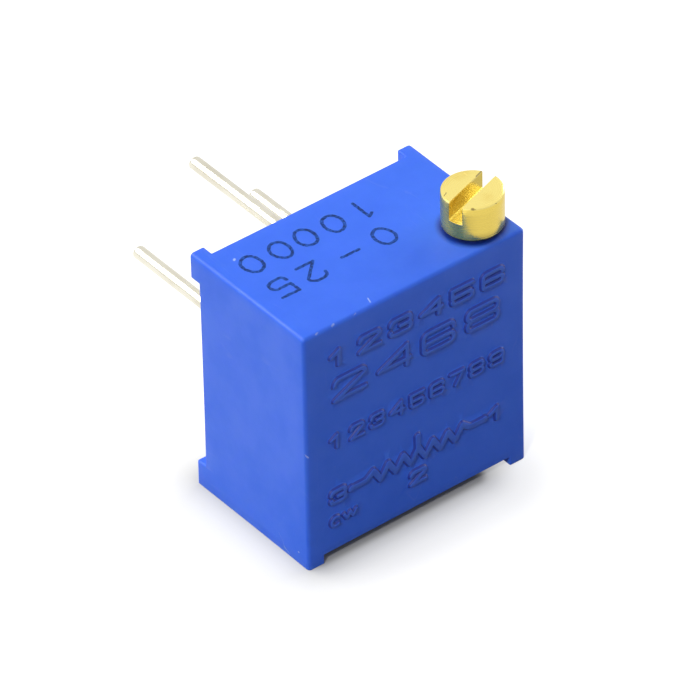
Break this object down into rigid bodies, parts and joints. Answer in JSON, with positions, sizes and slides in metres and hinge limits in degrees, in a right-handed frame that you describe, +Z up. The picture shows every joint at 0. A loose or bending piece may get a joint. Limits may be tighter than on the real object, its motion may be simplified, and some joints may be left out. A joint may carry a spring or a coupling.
{
  "type": "trimmer potentiometer",
  "caption": "Square blue multi-turn trimmer potentiometer with a slotted brass screw on top, a worm-driven wheel inside and straight pins out of one side.",
  "frame": {"origin": "middle of the bounding box at the underside of the rails", "axes": "+X along the marked face to the screw's side, +Y from the marked face along the pins, +Z up"},
  "size_m": [0.0096, 0.0122, 0.0115],
  "materials": {
    "housing_plastic": "semi-matt moulded blue plastic",
    "screw_brass": "turned brass",
    "seal_rubber": "moulded rubber",
    "clip_steel": "blanked spring steel",
    "wheel_plastic": "moulded natural plastic",
    "contact_metal": "blanked spring alloy",
    "base_ceramic": "fired alumina",
    "track_film": "fired resistive film",
    "silver_film": "fired silver film",
    "tinned_pin": "tinned wire",
    "solder_metal": "soldered",
    "potting_resin": "cast epoxy"
  },
  "bodies": {
    "housing": {"housing": "housing_plastic", "retaining_clip": "clip_steel", "ceramic_base": "base_ceramic", "resistive_track": "track_film", "conductor_1": "silver_film", "conductor_2": "silver_film", "conductor_3": "silver_film", "pin_1": "tinned_pin", "pin_2": "tinned_pin", "pin_3": "tinned_pin", "solder_1": "solder_metal", "solder_2": "solder_metal", "solder_3": "solder_metal", "potting": "potting_resin"},
    "screw": {"adjust_screw": "screw_brass", "screw_oring": "seal_rubber"},
    "rotor": {"rotor_gear": "wheel_plastic", "wiper": "contact_metal"}
  },
  "joints": [
    {"name": "screw_turn", "type": "hinge", "parent": "housing", "child": "screw", "pos_m": [0.00352, -0.00476, 0], "axis": [0, 0, 1], "range_deg": [-4500, 4500]},
    {"name": "rotor_turn", "type": "hinge", "parent": "housing", "child": "rotor", "pos_m": [0, -0.00476, 0.0052], "axis": [0, 1, 0], "range_deg": [-150.5, 150.5]}
  ],
  "couplings": [
    {"joint": "rotor_turn", "follows": "screw_turn", "ratio": -0.033333}
  ]
}
